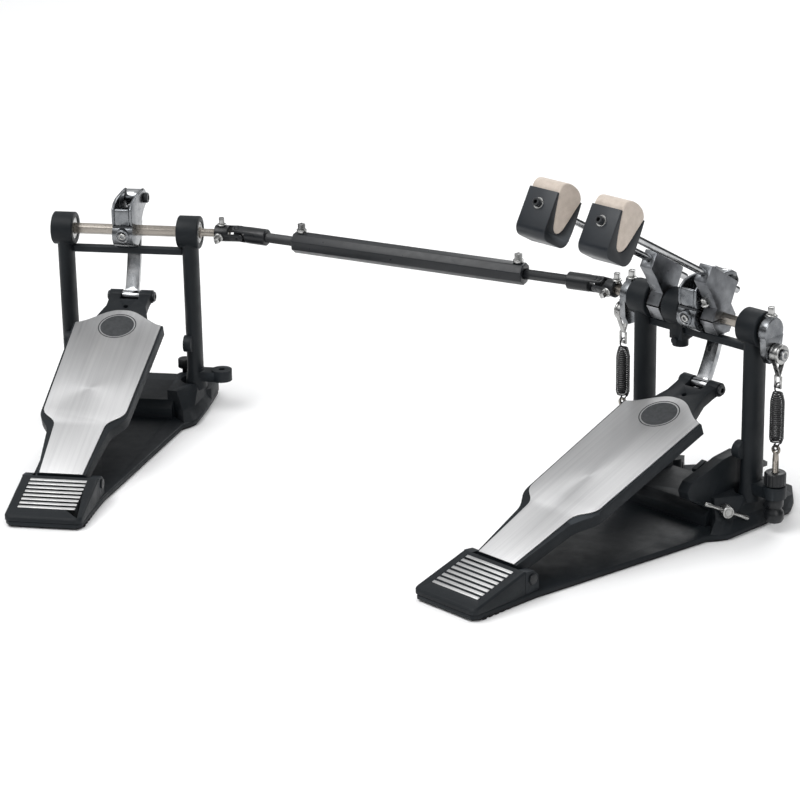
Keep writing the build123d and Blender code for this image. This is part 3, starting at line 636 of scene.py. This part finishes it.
def smooth_curve(points, steps):
    """A curve through the points, each span cut into steps."""
    count = len(points)
    result = []
    for i in range(count - 1):
        p = [Vector(points[min(max(i + k, 0), count - 1)]) for k in (-1, 0, 1, 2)]
        for k in range(steps):
            t = k / steps
            result.append(tuple(0.5 * (2 * p[1] + (p[2] - p[0]) * t
                                       + (2 * p[0] - 5 * p[1] + 4 * p[2] - p[3]) * t ** 2
                                       + (3 * p[1] - p[0] - 3 * p[2] + p[3]) * t ** 3)))
    result.append(tuple(points[-1]))
    return result


def finished(bm, name, body, material, edge=0.0, replaces=(), segments=2):
    """Turns a bmesh into a piece, with its edges rounded where a width in mm is given."""
    mesh = from_bmesh(bm, name)
    if edge:
        mesh = bevelled(mesh, edge, segments, PIECE_BEVEL_ANGLE)
    return piece(name, mesh, body, material, replaces)


# ---------------------------------------------------------------- shared fittings

KEY_HEAD_HALF = 2.6
KEY_HEAD_TOP = 8.2
KEY_SHANK = 2.0   # how far the screw runs into its part, so that no gap shows
KEY_FLANGE = ((4.3, 0), (4.9, 0.5), (4.9, 1.2), (4.2, 1.9), (0, 1.9))   # radius, height
KEY_TURN = math.radians(20)


def key_bolt(name, at, direction, body, pedal, scale=1.0):
    """A drum-key screw: square head on a round flange."""
    half = KEY_HEAD_HALF * scale
    matrix = spot(at, direction, RIGHT, pedal) @ Matrix.Rotation(KEY_TURN, 4, "Z")
    corners = [(-half, -half), (half, -half), (half, half), (-half, half)]
    flange = [(radius * scale, height * scale) for radius, height in KEY_FLANGE]
    bm = bmesh.new()
    add_prism(bm, rounded_outline(corners, 0.9 * scale, 3), 1.6 * scale, KEY_HEAD_TOP * scale, matrix)
    add_lathe(bm, [(0, -KEY_SHANK), (half, -KEY_SHANK), (half, 0)] + flange, matrix, 28)
    finished(bm, name, body, "bright_zinc", 0.35 * scale)


YOKE_FRONT = (0, -1, -0.25)
KEY_BOLTS = {
    "input_yoke_top_bolt": {"at": (98, 0, 197.9), "direction": UP, "body": "slave_pedal_axle",
                            "pedal": "slave"},
    "input_yoke_front_bolt": {"at": (96, -7.6, 187.6), "direction": YOKE_FRONT, "body": "slave_pedal_axle",
                              "pedal": "slave"},
    "output_yoke_top_bolt": {"at": (-100.5, 0, 197.9), "direction": UP, "body": "slave_beater_axle",
                             "pedal": "main"},
    "output_yoke_front_bolt": {"at": (-106, -7.6, 187.6), "direction": YOKE_FRONT,
                               "body": "slave_beater_axle", "pedal": "main"},
    "main_collar_bolt": {"at": (17.2, -12.4, 203.4), "direction": (0, -0.45, 0.9), "body": "main_axle",
                         "pedal": "main", "scale": 0.9},
}


def add_socket_head(bm, matrix, radius, height):
    """A round screw head with a socket sunk in its top."""
    inner = radius * 0.5
    rim = [(radius, height - 0.5), (radius - 0.5, height), (inner + 0.3, height), (inner, height - 0.3)]
    add_lathe(bm, [(0, -0.6), (radius, -0.6)] + rim + [(inner, height * 0.35), (0, height * 0.3)], matrix, 36)


# ---------------------------------------------------------------- cam and cap on the axle

EAR_INSIDE = 7.4
CAM_HALF = 10.5
LINK_PIN = AXLE + Vector((0, 32.0, 25.0))
# The cam's outlines are (ahead, up) from the axle. The ears and the wall share their back and their foot.
CAM_BACK = [(-17.4, 8.6), (-19.0, 14), (-18.8, 26)]
CAM_FOOT = [(15.2, -6.4), (0, 0.6)]
CAM_EAR = CAM_BACK + [(-12, 31.6), (-3, 33.8), (12, 34.6), (26, 34.9), (33, 34.6), (39.2, 31), (41.8, 25),
                      (40, 18.6), (35, 15.4), (28, 13), (21, 7), (17.2, 0.5)] + CAM_FOOT
CAM_WALL = CAM_BACK + [(-16.0, 26.6), (-12, 18), (-4, 15), (6, 16), (17.6, 19), (17.6, 1)] + CAM_FOOT
CAM_CAP = [(-17.6, 7.2), (-20.0, 2.6), (-20.3, -4), (-17.4, -10), (-11, -14.4), (-3, -16.3), (4, -16),
           (11, -12.6), (14.8, -7.4), (0, -0.6)]
CAM_SEAM = [(-18.2, 6.9), (-18.2, 8.9), (15.2, -5.8), (15.2, -7.8)]
CAP_SCREW = AXLE + Vector((0, -19.4, -1.0))
CAP_SCREW_WAY = (0, -0.97, -0.22)


def cam(pedal):
    """Two ears that hold the link's pin, a front wall between them and the split cap with its screw."""
    axle = BODY[pedal]["axle"]
    matrix = spot(AXLE, RIGHT, AHEAD, pedal)
    bm = bmesh.new()
    add_prism(bm, CAM_EAR, -CAM_HALF, -EAR_INSIDE, matrix)
    add_prism(bm, CAM_EAR, EAR_INSIDE, CAM_HALF, matrix)
    add_prism(bm, CAM_WALL, -EAR_INSIDE - 0.1, EAR_INSIDE + 0.1, matrix)
    finished(bm, pedal + "_cam_finish", axle, "polished_casting", 1.2, [pedal + "_link_cam"], 3)

    bm = bmesh.new()
    add_prism(bm, CAM_CAP, -CAM_HALF, CAM_HALF, matrix)
    seat = spot(CAP_SCREW, CAP_SCREW_WAY, RIGHT, pedal)
    rim = [(7.4, -4), (7.4, 1.5), (6.8, 2.2), (5.8, 2.2), (5.4, 1.8), (5.4, -0.4)]
    add_lathe(bm, [(0, -4)] + rim + [(0, -0.4)], seat, 40)
    finished(bm, pedal + "_cam_cap_finish", axle, "polished_casting", 0.9, [pedal + "_cam_cap"], 3)
    # a black disc on the floor of the screw's recess: painted shade, darkening the recess as its shadow would
    bm = bmesh.new()
    add_lathe(bm, [(0, -0.6), (5.3, -0.6), (5.3, 0.2), (0, 0.2)], seat, 40)
    finished(bm, pedal + "_cap_recess_painted_shade", axle, "black_steel")
    bm = bmesh.new()
    add_socket_head(bm, seat, 3.7, 2.4)
    finished(bm, pedal + "_cap_screw", axle, "bright_zinc")
    bm = bmesh.new()
    add_prism(bm, CAM_SEAM, -10.0, 10.0, matrix)
    finished(bm, pedal + "_cam_seam", axle, "black_steel")


def link_bolt(pedal):
    """The black pin through the cam's ears, with a domed head and a socket on its right."""
    bm = bmesh.new()
    matrix = spot(LINK_PIN, RIGHT, AHEAD, pedal)
    add_lathe(bm, [(0, -12.9), (4.0, -12.9), (4.8, -12.2), (4.8, -10.6), (3, -10.6), (3, 10.4), (4.9, 10.4),
                   (5.4, 11.0), (5.4, 13.4), (4.6, 14.6), (2.6, 14.7), (2.4, 13.4), (0, 13.2)], matrix, 32)
    finished(bm, pedal + "_cam_pin_finish", BODY[pedal]["axle"], "black_steel", 0, [pedal + "_cam_pin"])


def toe_bolt(pedal):
    """The toe pin with a round socket head at each end."""
    bm = bmesh.new()
    matrix = spot(TOE_PIN, RIGHT, AHEAD, pedal)
    half = [(0, 22.4), (2.2, 22.6), (2.4, 24.6), (4.4, 24.6), (5.2, 23.8), (5.2, 22.1), (3.0, 22.1)]
    add_lathe(bm, [(radius, -out) for radius, out in half] + half[::-1], matrix, 32)
    finished(bm, pedal + "_toe_pin_finish", BODY[pedal]["board"], "black_steel", 0, [pedal + "_toe_pin"])


BADGE_PLACE = 226.5   # from the tread's heel edge, along the tread
BADGE_RADIUS = 16.9
BADGE_RING = (18.2, 19.3)
BADGE_DEPTH = (-0.3, 0.06)


def badge(pedal):
    """A plain round badge etched near the toe end of the tread: a dark disc inside a thin dark ring."""
    lean = Vector((0, -math.sin(BOARD_ANGLE), math.cos(BOARD_ANGLE)))
    along = Vector((0, math.cos(BOARD_ANGLE), math.sin(BOARD_ANGLE)))
    matrix = spot(BOARD_HEEL + along * BADGE_PLACE, lean, RIGHT, pedal)
    under, over = BADGE_DEPTH
    inner, outer = BADGE_RING
    bm = bmesh.new()
    add_lathe(bm, [(0, under), (BADGE_RADIUS, under), (BADGE_RADIUS, over), (0, over + 0.02)], matrix, 96)
    add_lathe(bm, [(inner, under), (outer, under), (outer, over), (inner, over), (inner, under)], matrix, 96)
    finished(bm, pedal + "_badge", BODY[pedal]["board"], "badge_dark")


# ---------------------------------------------------------------- beaters

BEATERS = {
    "main_beater": {"x": 21.3, "reach": 199.0, "tail": -14.0, "body": "main_axle"},
    "slave_beater": {"x": -43.0, "reach": 210.0, "tail": -17.7, "body": "slave_beater_axle"},
}
STRIKE = Vector((0, math.sin(BEATER_ANGLE), math.cos(BEATER_ANGLE)))
OUTWARD = Vector((0, -math.cos(BEATER_ANGLE), math.sin(BEATER_ANGLE)))
BEATER_HALF = 16.8
ROD_OFFSET = 30   # the rod's line stands this far off the axle, along the strike
ROD_RADIUS = 3.3
SHELL_CORNER = 9.4
SHELL_TURNS = ((SHELL_CORNER, 0), (26.0, 90))   # a rounded corner's centre behind the face, its first angle
CORNER_STEPS = 8
WASHER = [(3.2, -1), (5.3, -1), (5.3, 0.5), (5.0, 0.9), (4.1, 0.9), (3.9, 0.4), (3.2, 0.4), (3.2, -1)]
# The beater's curves are (behind the face, out from the axle along the strike).
WEDGE = [(33.4, 44.2), (29.6, 33), (25.8, 21.4), (22, 13.2), (16.4, 9.8), (11.2, 12.4), (8.2, 20), (5.4, 30),
         (2.4, 43.2)]
SHELL_BACK = [(35.4, 9.4), (36.2, 19), (35.6, 34), (34.6, 44.6)]
CROWN = [(33.4, 44.2), (32, 48.2), (27, 52.4), (19, 54.7), (10.5, 54.6), (5.0, 52), (2.6, 47.6), (2.4, 43.2)]


def from_face(reach, points):
    """Points given as distances behind the beater's face, turned into distances along its rod."""
    return [(reach - behind, out) for behind, out in points]


def beater(name, x, reach, tail, body):
    """Moulded shell, felt wedge, chromed rod and the bolt through the shell's face."""
    across = spot((x, AXLE.y, AXLE.z), -RIGHT, OUTWARD)
    wedge = smooth_curve(from_face(reach, WEDGE), 5)
    corners = []
    for behind, start in SHELL_TURNS:
        for step in range(CORNER_STEPS + 1):
            angle = math.radians(start + step * 90 / CORNER_STEPS)
            corners.append((reach - behind + SHELL_CORNER * math.cos(angle),
                            SHELL_CORNER - SHELL_CORNER * math.sin(angle)))
    back = smooth_curve(from_face(reach, SHELL_BACK), 4)
    bm = bmesh.new()
    add_prism(bm, [(reach, 43.4)] + corners + back + wedge, -BEATER_HALF, BEATER_HALF, across)
    finished(bm, name + "_shell_finish", body, "black_plastic", 0.7, [name + "_shell"], 3)

    crown = smooth_curve(from_face(reach, CROWN), 5)
    felt_half = BEATER_HALF - 0.25
    bm = bmesh.new()
    add_prism(bm, crown + wedge[-2:0:-1], -felt_half, felt_half, across)
    finished(bm, name + "_felt_finish", body, "felt", 1.4, [name + "_felt"], 3)

    line = spot(Vector((x, AXLE.y, AXLE.z)) + STRIKE * ROD_OFFSET, OUTWARD, RIGHT)
    bm = bmesh.new()
    add_lathe(bm, [(0, tail), (ROD_RADIUS - 0.8, tail), (ROD_RADIUS, tail + 0.8), (ROD_RADIUS, reach - 4),
                   (0, reach - 4)], line, 32)
    finished(bm, name + "_rod_finish", body, "chrome", 0, [name + "_rod"])
    bm = bmesh.new()
    add_lathe(bm, [(radius, reach + height) for radius, height in WASHER], line, 40)
    finished(bm, name + "_washer", body, "bright_zinc")
    bm = bmesh.new()
    add_socket_head(bm, line @ Matrix.Translation((0, 0, reach * MM)), 3.7, 5.2)
    finished(bm, name + "_end_bolt", body, "black_steel")


# ---------------------------------------------------------------- springs and their rods

COIL_SPAN = (87.2, 135.2)   # heights above the floor at rest, mm
COIL_TURNS = 25
COIL_STEPS = COIL_TURNS * 20
COIL_RADIUS = 6.05
COIL_TOP, TOP_NARROWING = 0.8, 2.2   # the share of its height above which it narrows, and by how much
COIL_FOOT, FOOT_NARROWING = 0.08, 1.4
WIRE = 0.72
HOOK_WIRE = 0.77
LOWER_HOOK = {"radius": 3.5, "height": 83.0, "start": -160, "sweep": 260, "steps": 14}
UPPER_HOOK = {"radius": 4.2, "height": 139.6, "start": -20, "sweep": -290, "steps": 16}
LEAD_TO_COIL = ((2.2, 2.6, 85.8), (4.0, 1.4, 86.7))   # points between a hook and the coil
LEAD_FROM_COIL = ((3.6, 0, 135.0), (2.4, -0.8, 135.6))


def coil_radius(share):
    """The coil narrows over its top fifth and a little at its foot."""
    radius = COIL_RADIUS
    if share > COIL_TOP:
        radius -= TOP_NARROWING * ((share - COIL_TOP) / (1 - COIL_TOP)) ** 1.3
    if share < COIL_FOOT:
        radius -= FOOT_NARROWING * (1 - share / COIL_FOOT)
    return radius


def hook(x, radius, height, start, sweep, steps):
    """An open ring of wire in the plane that runs ahead and up."""
    angles = [math.radians(start + i * sweep / steps) for i in range(steps + 1)]
    return [Vector((x, radius * math.sin(angle), height - radius * math.cos(angle))) for angle in angles]


def spring(prefix, sign):
    """A close-wound tension spring with a hook at each end."""
    x = sign * SPRING_X
    low, high = COIL_SPAN
    points = hook(x, **LOWER_HOOK) + [Vector((x + aside, y, z)) for aside, y, z in LEAD_TO_COIL]
    for i in range(COIL_STEPS + 1):
        share = i / COIL_STEPS
        angle = math.tau * COIL_TURNS * share
        radius = coil_radius(share)
        height = low + (high - low) * share
        points.append(Vector((x + radius * math.cos(angle), radius * math.sin(angle), height)))
    bm = bmesh.new()
    add_tube(bm, [point * MM for point in points], WIRE, 8)
    mesh = from_bmesh(bm, prefix + "_spring")
    coil = piece(prefix + "_spring", mesh, None, "black_spring", [prefix + "_spring_coil"])
    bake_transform(coil)

    points = [Vector((x + aside, y, z)) for aside, y, z in LEAD_FROM_COIL] + hook(x, **UPPER_HOOK)
    bm = bmesh.new()
    add_tube(bm, [point * MM for point in points], HOOK_WIRE, 10)
    finished(bm, prefix + "_spring_hook", prefix + "_spring_upper", "black_spring", 0,
             [prefix + "_spring_upper_hook"])


THREAD_SPAN = (12.0, 70)
THREAD_PITCH = 0.9
THREAD_RADII = (2.72, 3.0)
EYE_HEIGHT = 80
LOCK_NUT = [(0, 10), (5.6, 10), (7.6, 11), (9.0, 14), (9.2, 17.4), (8.4, 20.6), (6.8, 22.6), (6.6, 24.4),
            (8.0, 26), (8.2, 27.4), (8.2, 32.6), (7.6, 33.7), (0, 33.7)]   # radius, height above the floor


def add_eye_rod(bm, sign):
    """A threaded rod with a flattened eye on top."""
    x = sign * SPRING_X
    root, crest = THREAD_RADII
    height, top = THREAD_SPAN
    profile = [(0, height)]
    while height < top:
        profile += [(root, height), (crest, height + THREAD_PITCH / 2)]
        height += THREAD_PITCH
    profile += [(2.9, 71), (2.6, 75), (2.2, 77.4), (0, 77.4)]
    add_lathe(bm, profile, spot((x, 0, 0), UP, RIGHT), 24)
    eye = [(2.5, -1.1), (4.3, -1.2), (4.6, -0.7), (4.6, 0.7), (4.3, 1.2), (2.5, 1.1), (2.3, 0), (2.5, -1.1)]
    add_lathe(bm, eye, spot((x, 0, EYE_HEIGHT), AHEAD, RIGHT), 32)


def tension_rods():
    """Both threaded rods, and the black lock nuts below the spring ears."""
    bm = bmesh.new()
    for sign in (1, -1):
        add_eye_rod(bm, sign)
    finished(bm, "tension_rods_finish", "frame", "warm_nickel", 0, ["tension_rods"])
    bm = bmesh.new()
    for sign in (1, -1):
        add_lathe(bm, LOCK_NUT, spot((sign * SPRING_X, 0, 0), UP, RIGHT), 48)
    finished(bm, "lock_nuts", "frame", "black_steel")


ROCKER_BOLT = (82.2, 204.2)   # out from the middle, up from the floor
ROLLER_FACE = 98.6


def rocker_end(prefix, sign, body):
    """Key bolt on the spring rocker's hub, and the ringed face of the strap's roller pin."""
    out, up = ROCKER_BOLT
    key_bolt(prefix + "_rocker_key_bolt", (sign * out, 0, up), UP, body, "main", 1.05)
    bm = bmesh.new()
    matrix = spot((sign * ROLLER_FACE, 0, joint_mm("main_strap_hinge").z), RIGHT * sign, AHEAD)
    add_socket_head(bm, matrix, 4.6, 1.0)
    finished(bm, prefix + "_roller_screw", body, "bright_zinc")


# ---------------------------------------------------------------- hoop clamp screw

CLAMP_BAR_TURN = math.radians(-24.3)   # the bar's lean from level at rest


def clamp_screw():
    """Wing screw of the hoop clamp: a ringed hub with a bar through it, flattened at both ends."""
    out = joint_axis("clamp_screw_turn")
    level = Vector((-out.y, out.x, 0))
    matrix = spot(joint_mm("clamp_screw_turn"), out, level)
    bm = bmesh.new()
    shank = [(0, -35), (3.6, -35), (4.0, -34.6), (4.0, -4)]
    hub = [(5.2, -4), (5.8, -3.4), (5.8, 4.2), (5.2, 5.0), (4.2, 5.0), (3.9, 4.4), (3.2, 4.4), (2.9, 4.9),
           (0, 4.9)]
    add_lathe(bm, shank + hub, matrix, 40)
    bar = matrix @ Matrix.Rotation(CLAMP_BAR_TURN, 4, "Z") @ Matrix.Rotation(math.radians(90), 4, "Y")
    add_lathe(bm, [(0, -23.5), (1.7, -23.5), (2.2, -22.6), (2.2, -17), (1.75, -15.6), (1.75, 15.6), (2.2, 17),
                   (2.2, 22.6), (1.7, 23.5), (0, 23.5)], bar, 24)
    finished(bm, "clamp_screw_finish", "clamp_screw", "bright_zinc", 0, ["clamp_screw"])


# ---------------------------------------------------------------- build

make_camera()
make_world()
make_floor()
for light_name, settings in AREA_LIGHTS.items():
    area_light(light_name, **settings)
sky_light()
bpy.context.scene.view_settings.view_transform = "Standard"

SOFTEN = {   # material, then the CAD nodes that show in it and the width of their rounded edges in mm
    "cast_paint": {"main_base_plate": 0.8, "slave_base_plate": 0.8, "main_bridge": 1.2, "slave_bridge": 1.2,
                   "main_posts": 1.0, "slave_posts": 1.0, "main_heel_block": 1.6, "slave_heel_block": 1.6,
                   "cross_bars": 0.8, "centre_bracket": 0.8, "main_footboard": 1.2, "slave_footboard": 1.2},
    "rubber": {"rubber_soles": 0.4},
    "bright_zinc": {"shaft_key_bolts": 0.4, "main_spring_strap": 0.25, "slave_spring_strap": 0.25,
                    "axle_bearings": 0.3},
    "rib_silver": {"heel_ribs": 0.5},
    "black_steel": {"heel_pins": 0.5, "ground_spurs": 0.4, "slave_input_yoke": 0.6, "main_output_yoke": 0.6,
                    "slave_joint_cross": 0.4, "main_joint_cross": 0.4, "shaft_end_rods": 0.5,
                    "shaft_sleeve": 0.7, "clamp_jaw": 1.0, "main_tension_knob": 0.4,
                    "slave_tension_knob": 0.4},
    "warm_nickel": {"main_axle": 0.4, "slave_pedal_axle": 0.4, "slave_beater_axle": 0.4},
    "chrome": {"main_drive_link": 0.7, "slave_drive_link": 0.7},
    "polished_casting": {"main_rocker": 0.8, "slave_rocker": 0.8},
    "satin_zinc": {"main_beater_holder": 0.8, "slave_beater_holder": 0.8},
    "main_brushed_plate": {"main_tread_plate": 0.3},
    "slave_brushed_plate": {"slave_tread_plate": 0.3},
}
for material_name, widths in SOFTEN.items():
    for node_name, edge in widths.items():
        softened(node_name, edge, material_name)
for pedal_name in PEDALS:
    cam(pedal_name)
    link_bolt(pedal_name)
    toe_bolt(pedal_name)
    badge(pedal_name)
for beater_name, facts in BEATERS.items():
    beater(beater_name, **facts)
spring("main", 1)
spring("slave", -1)
rocker_end("main", 1, "main_axle")
rocker_end("slave", -1, "slave_beater_axle")
tension_rods()
clamp_screw()
for bolt_name, facts in KEY_BOLTS.items():
    key_bolt(bolt_name, **facts)
